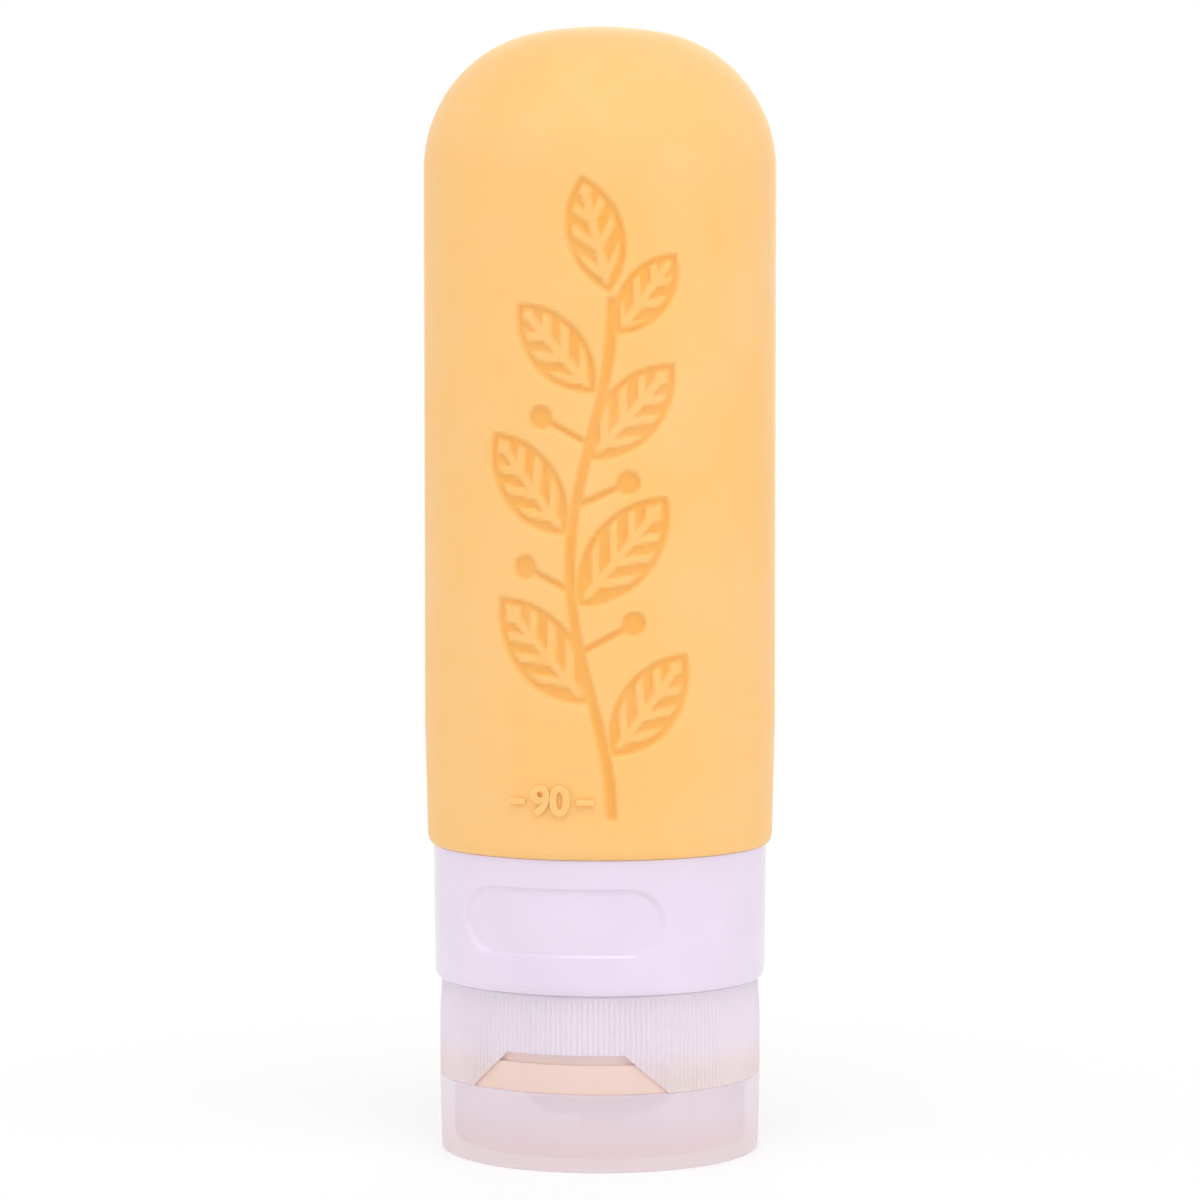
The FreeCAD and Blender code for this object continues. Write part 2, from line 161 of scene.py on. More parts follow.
# Thumb notch in the cap, deeper above its ledge.
NOTCH_TOP = 13.8 * MM
NOTCH_FOOT = 23 * MM
NOTCH_HEIGHT = 4.5 * MM
NOTCH_FACE = 18.4 * MM
NOTCH_RECESS = 18 * MM
NOTCH_LEDGE = 3.3 * MM
NOTCH_BELOW = 1 * MM
RECESS_INSET = 0.1 * MM
CUT_REACH = 6 * MM

# Flip lid and its stopper pin.
PARTING_GAP = 0.2 * MM
LID_DRAFT = 0.25 * MM
LID_SEAT = 0.06 * MM
LID_FLUSH = 0.12 * MM
LID_CORE = 17.7 * MM
LID_BORE = 17.1 * MM
LID_FLOOR = 1.4 * MM
LID_FOOT_ROUND = 0.4 * MM
LID_RIM_ROUND = 0.2 * MM
PLUG_ROOT = 2.3 * MM
PLUG_TIP = 1.9 * MM
PLUG_TOP = 6.2 * MM

# Bow-tie hinge: strip, wings and their sunk panels.
HINGE_HALF = 9.3 * MM
HINGE_FIT = 0.05 * MM
STRIP_HALF = 3.1 * MM
WING_SLIT = 0.5 * MM
WING_START = 0.5 * MM
WING_RIM = 0.4 * MM
STRAP = 0.9 * MM
PANEL_SINK = 0.3 * MM

# Sealing disc, its stepped rim and its crossed slits.
SEAL_RIM = 3.6 * MM
SEAL_FIT = 0.05 * MM
SEAL_WEB = 0.8 * MM
SEAL_SHELF = 1.75 * MM
SEAL_STEP = 1.2 * MM
SLIT_LENGTH = 7 * MM
SLIT_WIDTH = 0.25 * MM

# How far a face may lie from the wall that it is looked for on.
FACE_SLACK = 0.1 * MM
NOTCH_SLACK = 0.05 * MM
SKIN_SLACK = 0.01 * MM

# Heights and radii that follow from them.
BODY_RADIUS = BODY[1].x
BODY_TOP = BODY[1].z
FOOT_HEIGHT = COLLAR[1].z + COLLAR_GAP
CAP_RADIUS = CAP[1].x - CAP_TRIM
CAP_FOOT = LID[1].z + PARTING_GAP
CAP_TOP = COLLAR[0].z - COLLAR_DROP - CAP_SEAT
LID_RADIUS = LID[1].x + LID_FLUSH
HINGE_HEIGHT = LID[1].z + PARTING_GAP / 2
STRIP_RISE = STRIP[1].z - HINGE_HEIGHT
WING_RISE = WING[1].z - HINGE_HEIGHT

# The camera stands a little to the right of the notch, as the photograph does.
CAMERA_AZIMUTH = radians(13)
CAMERA_DISTANCE = 0.52
CAMERA_HEIGHT = 0.096
CAMERA_AIM = 0.0643
CAMERA_LENS = 133.5
SENSOR_WIDTH = 36

# Name, place, side in metres and power in watts of each softbox.
LAMPS = (
    ("top_softbox", (0.1, -0.38, 0.75), 0.6, 2.6),
    ("left_softbox", (-0.7, -0.35, 0.25), 0.5, 1.0),
    ("right_softbox", (0.75, -0.3, 0.25), 0.5, 1.2),
    ("back_softbox", (-0.1, 0.8, 0.3), 0.6, 2.0),
)
ROOM_LIGHT = 0.55
FLOOR_RADIUS = 3
# The floor's own white grows between these distances from the axis, so that the shadow shows.
SHADOW_NEAR = 0.02
SHADOW_FAR = 0.12
SHADOW_WHITE = 0.6

# How finely the shapes are divided. A grid has columns and rows.
NOTCH_GRID = (40, 11)
RECESS_GRID = (40, 4)
SLOT_GRID = (60, 2)
HINGE_GRID = (48, 16)
ROUND_SEGMENTS = 3
LID_FOOT_SEGMENTS = 4
SMOOTH_STEPS = 256
INNER_CROWN_STEPS = 8
INNER_SHOULDER_STEPS = 12
CROWN_STEPS = 12
SHOULDER_STEPS = 28
FOOT_STEPS = 10
COLLAR_ROUND_STEPS = 8
COLLAR_ROWS = 54
COLLAR_RIM_STEPS = 4
COLLAR_STEPS = 150
PANEL_STEPS = 120
NECK_THREAD_STEPS = 160
CAP_THREAD_STEPS = 140
RIB_STEPS = 4
QUARTER_STEPS = 6
SHARP_ANGLE = radians(32)


def linear(code):
    """Linear colour of an sRGB hex value."""
    channels = [int(code[i:i + 2], 16) / 255 for i in (0, 2, 4)]
    return [c / 12.92 if c <= 0.04045 else ((c + 0.055) / 1.055) ** 2.4 for c in channels]


def colour(code, name, description):
    """Colour property whose default is an sRGB hex value."""
    return FloatVectorProperty(name=name, description=description, subtype="COLOR", size=3,
                               min=0, max=1, default=linear(code))


class BottleSizes(PropertyGroup):
    """Sizes of the surface detail."""

    carve_depth: FloatProperty(
        name="Carving depth", description="Depth of the moulded sprig in the silicone",
        default=0.45 * MM, unit="LENGTH")
    carve_edge: FloatProperty(
        name="Carving edge", description="Width of the soft edge of the sprig",
        default=0.5 * MM, unit="LENGTH")
    sprig_azimuth: FloatProperty(
        name="Sprig azimuth", description="Middle of the front sprig, to the right of the notch",
        default=radians(10), subtype="ANGLE")
    mark_azimuth: FloatProperty(
        name="Mark azimuth", description="Middle of the raised number, to the right of the notch",
        default=radians(-3), subtype="ANGLE")
    mark_height: FloatProperty(
        name="Mark height", description="Height of the raised number's digits",
        default=3.3 * MM, unit="LENGTH")
    mark_relief: FloatProperty(
        name="Mark relief", description="How far the number stands out of the silicone",
        default=0.42 * MM, unit="LENGTH")
    rib_count: IntProperty(
        name="Ribs", description="Grip ribs round the screw cap", default=192, min=12)
    rib_depth: FloatProperty(
        name="Rib depth", description="Depth of the grooves between the grip ribs",
        default=0.2 * MM, unit="LENGTH")
    rib_height: FloatProperty(
        name="Rib height", description="Length of the ribs above the parting line",
        default=10.5 * MM, unit="LENGTH")


class BottleColours(PropertyGroup):
    """Colours of the finishes."""

    silicone: colour("FEC77C", "Silicone", "Pale orange squeeze body")
    # Painted shade: the carving is coloured darker, as the shade in its hollows.
    silicone_recess_shade: colour("FAB65C", "Carved silicone", "Silicone at the bottom of the carving")
    seal: colour("FBBF70", "Seal", "Sealing disc inside the cap")
    collar: colour("E9DDF0", "Collar", "Glossy collar")
    ring: colour("EBDFF0", "Clamp ring", "Ring inside the collar")
    neck: colour("F8F4FD", "Neck", "Threaded neck")
    frosted: colour("FDF5FF", "Frosted plastic", "Cap wall")
    # Painted light: the foot of the cap wall is tinted with the seal's warm glow.
    frosted_seal_glow: colour(
        "FBEFF0", "Warm frosted plastic", "Foot of the cap wall, where the seal shows through")
    hinge: colour("FFF8FF", "Hinge", "Frosted hinge")
    # Painted light: the notch's thin wall is tinted with the seal's glow, faint at the top and strong
    # against the seal.
    thin_glow: colour("FBE4E0", "Thin frosted plastic", "Thin wall at the top of the notch")
    thin_seal_glow: colour("FCE1D5", "Thin warm plastic", "Thin wall of the notch, against the seal")
    lid: colour("FCF6FF", "Lid", "Frosted lid")
    lid_core: colour(
        "FAD8D3", "Lid floor", "Thick floor of the lid, under the warm light from the spout")
    # Painted light: the deck and spout are tinted with the seal's warm glow.
    deck: colour("FFE3D8", "Deck", "Deck and spout, warmed by the seal behind them")
    floor: colour("FFFFFF", "Floor", "Floor and background")


def add(tree, kind, settings=None, **inputs):
    """Adds a shader node; an input is a number, a colour or another node's output."""
    made = tree.nodes.new(kind)
    for name, value in (settings or {}).items():
        setattr(made, name, value)
    for name, value in inputs.items():
        key = int(name[1:]) if name[0] == "_" else name.replace("_", " ")
        if isinstance(value, bpy.types.NodeSocket):
            tree.links.new(value, made.inputs[key])
        else:
            made.inputs[key].default_value = value
    return made


def new_material(name):
    """Empty node material and the output that its shader goes to."""
    material = bpy.data.materials.new(name)
    material.use_nodes = True
    material.node_tree.nodes.clear()
    return material, material.node_tree, add(material.node_tree, "ShaderNodeOutputMaterial")


def rgba(value):
    """Colour property as a shader colour."""
    return (*value, 1.0)


def per_mm(spacing):
    """Texture scale, in cycles per metre, of a pattern with that spacing in millimetres."""
    return 1 / (spacing * MM)


def silicone_rubber(name, surface, recess_shade):
    """Moulded silicone rubber: soft, matte and a little translucent, so its edges glow."""
    material, tree, out = new_material(name)
    place = add(tree, "ShaderNodeTexCoord").outputs["Object"]
    # The pigment drifts over about 14 mm.
    cloud = add(tree, "ShaderNodeTexNoise", Vector=place, Scale=per_mm(14), Detail=2.0).outputs["Fac"]
    drift = add(tree, "ShaderNodeMapRange", Value=cloud, From_Min=0.3, From_Max=0.7,
                To_Min=0.97, To_Max=1.03).outputs["Result"]
    # Painted shade: the carving's share darkens the silicone's colour in the hollows.
    carved = add(tree, "ShaderNodeAttribute", {"attribute_name": "carved"}).outputs["Fac"]
    base = add(tree, "ShaderNodeMix", {"data_type": "RGBA"}, _0=carved, _6=rgba(surface), _7=rgba(recess_shade))
    tinted = add(tree, "ShaderNodeHueSaturation", Color=base.outputs[2], Saturation=drift)
    # The mould's fine matte grain is about 0.05 mm; it is drawn at 0.4 mm so that it shows.
    grain = add(tree, "ShaderNodeTexNoise", Vector=place, Scale=per_mm(0.4), Detail=3.0).outputs["Fac"]
    rough = add(tree, "ShaderNodeMapRange", Value=grain, To_Min=0.48, To_Max=0.62).outputs["Result"]
    bump = add(tree, "ShaderNodeBump", Height=grain, Strength=0.12, Distance=0.02 * MM)
    shader = add(tree, "ShaderNodeBsdfPrincipled", Base_Color=tinted.outputs["Color"], Roughness=rough,
                 Normal=bump.outputs["Normal"])
    shader.inputs["IOR"].default_value = 1.41
    shader.inputs["Subsurface Weight"].default_value = 0.25
    shader.inputs["Subsurface Radius"].default_value = (1.0, 0.55, 0.25)
    shader.inputs["Subsurface Scale"].default_value = 1.2 * MM
    shader.inputs["Sheen Weight"].default_value = 0.18
    shader.inputs["Sheen Roughness"].default_value = 0.4
    tree.links.new(shader.outputs["BSDF"], out.inputs["Surface"])
    return material


def moulded_plastic(name, base, shine, wave):
    """Injection-moulded polypropylene: opaque, smooth, with the slight waviness of a moulded wall."""
    material, tree, out = new_material(name)
    place = add(tree, "ShaderNodeTexCoord").outputs["Object"]
    # The plastic's flow left waves about 9 mm long.
    flow = add(tree, "ShaderNodeTexNoise", Vector=place, Scale=per_mm(9), Detail=1.0).outputs["Fac"]
    tone = add(tree, "ShaderNodeMapRange", Value=flow, From_Min=0.3, From_Max=0.7,
               To_Min=0.98, To_Max=1.02).outputs["Result"]
    tinted = add(tree, "ShaderNodeHueSaturation", Color=rgba(base), Value=tone)
    rough = add(tree, "ShaderNodeMapRange", Value=flow, To_Min=shine * 0.9, To_Max=shine * 1.1)
    bump = add(tree, "ShaderNodeBump", Height=flow, Strength=0.2, Distance=wave)
    shader = add(tree, "ShaderNodeBsdfPrincipled", Base_Color=tinted.outputs["Color"],
                 Roughness=rough.outputs["Result"], Normal=bump.outputs["Normal"])
    shader.inputs["IOR"].default_value = 1.49
    shader.inputs["Subsurface Weight"].default_value = 0.15
    shader.inputs["Subsurface Radius"].default_value = (1.0, 0.95, 1.0)
    shader.inputs["Subsurface Scale"].default_value = 0.8 * MM
    tree.links.new(shader.outputs["BSDF"], out.inputs["Surface"])
    return material


def frosted_plastic(name, base, milk, glow, core=None, far=1, near=0):
    """Natural polypropylene, unpigmented and spark-eroded: milky, with what lies behind it showing faintly.
    milk is how far it hides what is behind it, and glow the share of light that it scatters through.
    core is the colour of painted warm light that it turns to from far to near the middle of the lid's
    floor, where a height counts three times."""
    material, tree, out = new_material(name)
    place = add(tree, "ShaderNodeTexCoord").outputs["Object"]
    # The haze is uneven over about 6 mm.
    haze = add(tree, "ShaderNodeTexNoise", Vector=place, Scale=per_mm(6), Detail=2.0).outputs["Fac"]
    tone = add(tree, "ShaderNodeMapRange", Value=haze, From_Min=0.3, From_Max=0.7,
               To_Min=0.985, To_Max=1.015).outputs["Result"]
    # Painted light: the warm core colour is blended in by distance from the middle of the lid's floor.
    tall = add(tree, "ShaderNodeVectorMath", {"operation": "MULTIPLY"}, _0=place, _1=(1, 1, 3))
    away = add(tree, "ShaderNodeVectorMath", {"operation": "LENGTH"}, _0=tall.outputs["Vector"])
    share = add(tree, "ShaderNodeMapRange", {"interpolation_type": "SMOOTHSTEP"},
                Value=away.outputs["Value"], From_Min=far, From_Max=near).outputs["Result"]
    shade = add(tree, "ShaderNodeMix", {"data_type": "RGBA"}, _0=share, _6=rgba(base),
                _7=rgba(core or base))
    tinted = add(tree, "ShaderNodeHueSaturation", Color=shade.outputs[2], Value=tone)
    # The eroded grain is about 0.03 mm; it is drawn at 0.3 mm so that it shows.
    grain = add(tree, "ShaderNodeTexNoise", Vector=place, Scale=per_mm(0.3), Detail=2.0).outputs["Fac"]
    rough = add(tree, "ShaderNodeMapRange", Value=grain, To_Min=0.26, To_Max=0.36)
    bump = add(tree, "ShaderNodeBump", Height=grain, Strength=0.1, Distance=0.01 * MM)
    shader = add(tree, "ShaderNodeBsdfPrincipled", Base_Color=tinted.outputs["Color"],
                 Roughness=rough.outputs["Result"], Normal=bump.outputs["Normal"])
    shader.inputs["IOR"].default_value = 1.49
    shader.inputs["Alpha"].default_value = milk
    through = add(tree, "ShaderNodeBsdfTranslucent", Color=tinted.outputs["Color"],
                  Normal=bump.outputs["Normal"])
    mixed = add(tree, "ShaderNodeMixShader", _0=glow, _1=shader.outputs["BSDF"],
                _2=through.outputs["BSDF"])
    tree.links.new(mixed.outputs["Shader"], out.inputs["Surface"])
    return material


def lathe(points, steps, closed):
    """Outline of (radius, height) points spun once round the upright axis."""
    bm = bmesh.new()
    verts = [bm.verts.new((radius, 0, height)) for radius, height in points]
    ends = verts[1:] + verts[:1] if closed else verts[1:]
    edges = [bm.edges.new(pair) for pair in zip(verts, ends)]
    bmesh.ops.spin(bm, geom=verts + edges, cent=(0, 0, 0), axis=(0, 0, 1), angle=2 * pi, steps=steps,
                   use_merge=True)
    close_up(bm)
    return bm


def spin_sectors(bm, start, sectors):
    """Spins the outline drawn so far round the upright axis, from start through (angle, steps) sectors."""
    bmesh.ops.rotate(bm, verts=bm.verts, cent=(0, 0, 0), matrix=Matrix.Rotation(start, 3, "Z"))
    outline = bm.verts[:] + bm.edges[:]
    for angle, steps in sectors:
        made = bmesh.ops.spin(bm, geom=outline, cent=(0, 0, 0), axis=(0, 0, 1), angle=angle, steps=steps)
        outline = made["geom_last"]
    close_up(bm)


def close_up(bm):
    """Merges seams and poles and turns the faces outwards."""
    bmesh.ops.remove_doubles(bm, verts=bm.verts, dist=WELD)
    bmesh.ops.recalc_face_normals(bm, faces=bm.faces)


def round_rings(bm, width, segments, *rings):
    """Rounds the edges of the rings at the given (radius, height) pairs."""
    def on_ring(vert, radius, height):
        return abs(hypot(vert.co.x, vert.co.y) - radius) < WELD and abs(vert.co.z - height) < WELD
    edges = [e for e in bm.edges if any(all(on_ring(v, *ring) for v in e.verts) for ring in rings)]
    bmesh.ops.bevel(bm, geom=edges, offset=width, offset_type="OFFSET", segments=segments, profile=0.5,
                    affect="EDGES", clamp_overlap=True, material=-1)


def helix(bm, corners, turns, steps):
    """Right-hand ridge of the given section, closed at both ends."""
    verts = [bm.verts.new((radius, 0, height)) for radius, height in corners]
    edges = [bm.edges.new(pair) for pair in zip(verts, verts[1:] + verts[:1])]
    first = bm.faces.new(verts)
    made = bmesh.ops.spin(bm, geom=edges, cent=(0, 0, 0), axis=(0, 0, 1), angle=2 * pi * turns, steps=steps,
                          dvec=(0, 0, THREAD_PITCH * turns / steps))
    last = [g for g in made["geom_last"] if isinstance(g, bmesh.types.BMEdge)]
    made = bmesh.ops.contextual_create(bm, geom=last)
    ridge = {first, *made["faces"]}
    todo = list(ridge)
    while todo:
        for edge in todo.pop().edges:
            fresh = [f for f in edge.link_faces if f not in ridge]
            ridge.update(fresh)
            todo.extend(fresh)
    bmesh.ops.recalc_face_normals(bm, faces=list(ridge))


def curved_slab(grid, place, inner, reach, back):
    """Patch of a cylinder of radius inner, pushed straight out by reach at the front or the back.
    place turns grid positions from -1 to 1 into (across, height)."""
    side = 1 if back else -1
    bm = bmesh.new()
    bmesh.ops.create_grid(bm, x_segments=grid[0], y_segments=grid[1], size=1)
    for vert in bm.verts:
        across, height = place(vert.co.x, vert.co.y)
        vert.co = (across, side * sqrt(inner ** 2 - across ** 2), height)
    made = bmesh.ops.extrude_face_region(bm, geom=bm.faces[:])
    moved = [g for g in made["geom"] if isinstance(g, bmesh.types.BMVert)]
    bmesh.ops.translate(bm, verts=moved, vec=(0, side * reach, 0))
    close_up(bm)
    return bm


def to_object(bm, name):
    """New object in the scene with the bmesh as its mesh."""
    mesh = bpy.data.meshes.new(name)
    bm.to_mesh(mesh)
    bm.free()
    piece = bpy.data.objects.new(name, mesh)
    bpy.context.scene.collection.objects.link(piece)
    return piece


def cut(piece, *tools):
    """Cuts the tools' shapes out of a piece, removes the tools and drops slivers."""
    for bm in tools:
        tool = to_object(bm, "cutter")
        modifier = piece.modifiers.new("cut", "BOOLEAN")
        modifier.object = tool
        modifier.operation = "DIFFERENCE"
        modifier.solver = "EXACT"
        bpy.context.view_layer.update()
        whole = piece.evaluated_get(bpy.context.evaluated_depsgraph_get())
        mesh = bpy.data.meshes.new_from_object(whole)
        piece.modifiers.clear()
        old, piece.data = piece.data, mesh
        bpy.data.meshes.remove(old)
        mesh.name = piece.name
        bpy.data.objects.remove(tool)
    bm = bmesh.new()
    bm.from_mesh(piece.data)
    bmesh.ops.dissolve_degenerate(bm, edges=bm.edges, dist=WELD)
    bm.to_mesh(piece.data)
    bm.free()


def dress(piece, material, slot, body, *nodes):
    """Shades a finished piece, ties it to its body and hides the nodes it stands for."""
    mesh = piece.data
    mesh.polygons.foreach_set("use_smooth", [True] * len(mesh.polygons))
    mesh.set_sharp_from_angle(angle=SHARP_ANGLE)
    mesh.materials.clear()
    mesh.materials.append(material)
    if body:
        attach(piece, body)
    if nodes:
        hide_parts(*nodes)


# Moulded sprig, in millimetres: across the wall to the right, and height above the floor.
SPRIG_LOW = 40
SPRIG_TOP = 100
STEM_SWING = 2.4
STEM_WAVE = 58
STEM_HALF = 0.6
LEAF_STALK = 1.0
# Height on the stem, lean to the right in degrees, length and half width of each leaf.
LEAVES = [
    (47, 38, 14.5, 3.6), (53, -42, 16, 3.8), (64, 40, 16, 3.9), (72, -38, 14.5, 3.6),
    (80.5, 42, 14.5, 3.5), (88, -42, 13.5, 3.3), (94.5, 38, 11.5, 2.9), (99, -14, 13.5, 3.3),
]
# Height on the stem, lean and stalk length of each bud.
BUDS = [(59.5, 62, 7.0), (66.5, -64, 6.0), (76, 66, 6.6), (83, -62, 6.4)]
BUD_RADIUS = 1.35
STALK_HALF = 0.38
VEIN_SPACING = 3.2
VEIN_WIDTH = 1.5
VEIN_SLANT = 1.1
MIDRIB_HALF = 0.5
OUTLINE_WIDTH = 0.75
# Share of the carving's depth that the veins stand up by, and length of the stem's soft ends.
VEIN_RAISE = 0.8
STEM_END = 1
# Nothing is carved past these distances.
SPRIG_HALF = 14
SPRIG_MARGIN = 2
LEAF_MARGIN = 1


def smooth(low, high, value):
    """Soft step from 0 at low to 1 at high."""
    t = min(max((value - low) / (high - low), 0), 1)
    return t * t * (3 - 2 * t)


def stem_at(height):
    """Middle of the stem at a height."""
    return STEM_SWING * cos(2 * pi * (height - SPRIG_LOW) / STEM_WAVE)


def along(across, height, foot, lean):
    """Position along and beside a line that leaves the stem at a height with a lean."""
    right, up = across - stem_at(foot), height - foot
    lean = radians(lean)
    return right * sin(lean) + up * cos(lean), right * cos(lean) - up * sin(lean)


def leaf_depth(across, height, leaf, edge):
    """Share of the carving's depth inside one leaf: an outline groove, raised veins and a midrib."""
    foot, lean, length, half = leaf
    ahead, beside = along(across, height, foot, lean)
    ahead -= LEAF_STALK + length / 2
    if abs(ahead) > length / 2 + LEAF_MARGIN or abs(beside) > half + LEAF_MARGIN:
        return 0
    bow = ((length / 2) ** 2 + half ** 2) / (2 * half)
    gap = hypot(ahead, abs(beside) + bow - half) - bow
    groove = 1 - smooth(-edge / 2, edge / 2, gap)
    inner = 1 - smooth(-OUTLINE_WIDTH - edge / 2, -OUTLINE_WIDTH + edge / 2, gap)
    phase = (ahead - VEIN_SLANT * abs(beside)) % VEIN_SPACING
    vein = 1 - smooth(VEIN_WIDTH / 2 - edge / 2, VEIN_WIDTH / 2 + edge / 2, abs(phase - VEIN_SPACING / 2))
    midrib = 1 - smooth(MIDRIB_HALF - edge / 2, MIDRIB_HALF + edge / 2, abs(beside))
    return groove * (1 - VEIN_RAISE * inner * max(vein, midrib))


def sprig_depth(across, height, edge):
    """Share of the carving's depth at a place on the wall, from 0 on the wall to 1."""
    top = SPRIG_TOP + LEAVES[-1][2] + SPRIG_MARGIN
    if not SPRIG_LOW - SPRIG_MARGIN < height < top or abs(across) > SPRIG_HALF:
        return 0
    depth = max(leaf_depth(across, height, leaf, edge) for leaf in LEAVES)
    if SPRIG_LOW < height < SPRIG_TOP:
        ends = smooth(SPRIG_LOW, SPRIG_LOW + STEM_END, height)
        ends *= smooth(SPRIG_TOP, SPRIG_TOP - STEM_END, height)
        line = abs(across - stem_at(height)) - STEM_HALF
        depth = max(depth, ends * (1 - smooth(-edge / 2, edge / 2, line)))
    for foot, lean, length in BUDS:
        ahead, beside = along(across, height, foot, lean)
        ball = hypot(ahead - length, beside) - BUD_RADIUS
        depth = max(depth, 1 - smooth(-edge / 2, edge / 2, ball))
        if 0 < ahead < length:
            depth = max(depth, 1 - smooth(-edge / 2, edge / 2, abs(beside) - STALK_HALF))
    return depth


# The two carved sides of the body are divided finely, and the plain ones coarsely.
CARVED_ARC = radians(68)
CARVED_STEPS = 84
PLAIN_STEPS = 32
ROW = 0.34 * MM


def line_to(bm, vert, radius, height, steps=1):
    """Draws a profile on from a vertex in even steps."""
    step = (Vector((radius, 0, height)) - vert.co) / steps
    made = bmesh.ops.spin(bm, geom=[vert], cent=vert.co, axis=(0, 1, 0), dvec=step, angle=0, steps=steps)
    return made["geom_last"][0]


def arc_to(bm, vert, centre, angle, steps):
    """Draws a profile on round a centre; a positive angle turns down from the dome."""
    made = bmesh.ops.spin(bm, geom=[vert], cent=(centre[0], 0, centre[1]), axis=(0, 1, 0), angle=angle,
                          steps=steps)
    return made["geom_last"][0]


def round_out(bm, vert, across, rise, steps):
    """Draws a profile on by a quarter oval that turns from straight out to straight up."""
    radius, height = vert.co.x, vert.co.z
    for step in range(1, steps + 1):
        turn = step * pi / 2 / steps
        vert = line_to(bm, vert, radius + across * sin(turn), height + rise * (1 - cos(turn)))
    return vert


class BOTTLE_OT_silicone_body(Operator):
    """Model the silicone squeeze body with its moulded sprigs"""

    bl_idname = "bottle.silicone_body"
    bl_label = "Silicone Body"

    def execute(self, context):
        sizes = context.scene.bottle_sizes
        colours = context.scene.bottle_colours
        shoulder = BODY_RADIUS - SHOULDER_RADIUS
        rise = sqrt((CROWN_RADIUS - SHOULDER_RADIUS) ** 2 - shoulder ** 2)
        crown_mid = (0, BODY_TOP - CROWN_RADIUS)
        shoulder_mid = (shoulder, BODY_TOP - CROWN_RADIUS + rise)
        lean = atan2(shoulder, rise)
        foot_out = BODY_RADIUS - FOOT_TAPER
        taper_top = FOOT_HEIGHT + TAPER_HEIGHT
        floor_top = FOOT_HEIGHT + BODY_FLOOR

        bm = bmesh.new()
        vert = bm.verts.new((0, 0, BODY_TOP - BODY_WALL))
        vert = arc_to(bm, vert, crown_mid, lean, INNER_CROWN_STEPS)
        vert = arc_to(bm, vert, shoulder_mid, pi / 2 - lean, INNER_SHOULDER_STEPS)
        vert = line_to(bm, vert, BODY_RADIUS - BODY_WALL, taper_top)
        vert = line_to(bm, vert, foot_out - BODY_WALL, floor_top)
        vert = line_to(bm, vert, SLEEVE_BORE, floor_top)
        vert = line_to(bm, vert, SLEEVE_BORE, BODY[0].z)
        vert = line_to(bm, vert, SLEEVE_OUT, BODY[0].z)
        vert = line_to(bm, vert, SLEEVE_OUT, FOOT_HEIGHT)
        vert = line_to(bm, vert, COLLAR[1].x, FOOT_HEIGHT)
        vert = round_out(bm, vert, foot_out - COLLAR[1].x, FOOT_ROUND, FOOT_STEPS)
        vert = line_to(bm, vert, BODY_RADIUS, taper_top, int((taper_top - vert.co.z) / ROW))
        vert = line_to(bm, vert, BODY_RADIUS, shoulder_mid[1], int((shoulder_mid[1] - taper_top) / ROW))
        vert = arc_to(bm, vert, shoulder_mid, lean - pi / 2, SHOULDER_STEPS)
        arc_to(bm, vert, crown_mid, -lean, CROWN_STEPS)

        front = sizes.sprig_azimuth - pi / 2
        carved, plain = (CARVED_ARC, CARVED_STEPS), (pi - CARVED_ARC, PLAIN_STEPS)
        spin_sectors(bm, front - CARVED_ARC / 2, [carved, plain, carved, plain])

        # The carving's share is kept for the material, which paints shade into the carving.
        layer = bm.verts.layers.float.new("carved")
        skin = BODY_RADIUS - BODY_WALL / 2
        for vert in bm.verts:
            radius = hypot(vert.co.x, vert.co.y)
            if radius < skin:
                continue
            turn = atan2(vert.co.y, vert.co.x) - front
            turn -= pi * round(turn / pi)
            share = sprig_depth(turn * BODY_RADIUS / MM, vert.co.z / MM, sizes.carve_edge / MM)
            vert[layer] = share
            slim = 1 - share * sizes.carve_depth / radius
            vert.co.xy = vert.co.xy * slim

        piece = to_object(bm, "silicone_body")
        material = silicone_rubber("moulded_silicone", colours.silicone, colours.silicone_recess_shade)
        dress(piece, material, "silicone", "bottle", "bottle_body")
        return {"FINISHED"}


